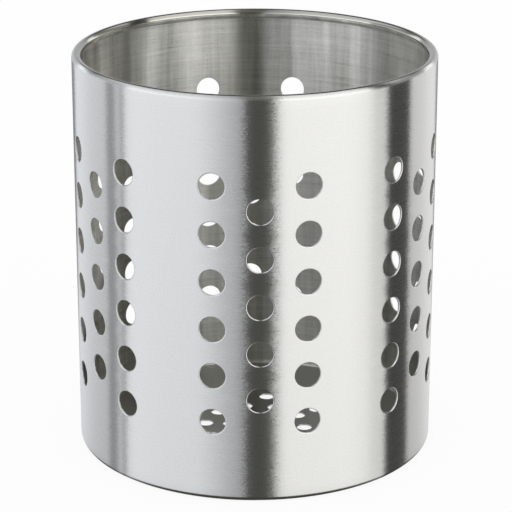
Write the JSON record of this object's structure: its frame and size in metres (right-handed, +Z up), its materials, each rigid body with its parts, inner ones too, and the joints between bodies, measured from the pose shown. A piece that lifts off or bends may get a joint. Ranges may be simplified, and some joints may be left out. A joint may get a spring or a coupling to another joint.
{
  "type": "cutlery holder",
  "caption": "Free-standing round cutlery holder of perforated brushed steel sheet, open at the top, with a rolled rim and a base with drain holes.",
  "frame": {"origin": "middle of the flat face that the holder stands on", "axes": "+Z up along the axis of the can, -Y towards the group of wall holes at the front, +X to the right of that group"},
  "size_m": [0.12, 0.12, 0.135],
  "materials": {
    "brushed_steel": "satin, brushed round the can",
    "base_steel": "satin, brushed straight across",
    "weld_steel": "dressed weld, dull"
  },
  "bodies": {
    "root": {"side_wall": "brushed_steel", "base_plate": "base_steel", "seam_weld": "weld_steel", "base_spot_welds": "weld_steel"}
  },
  "joints": []
}
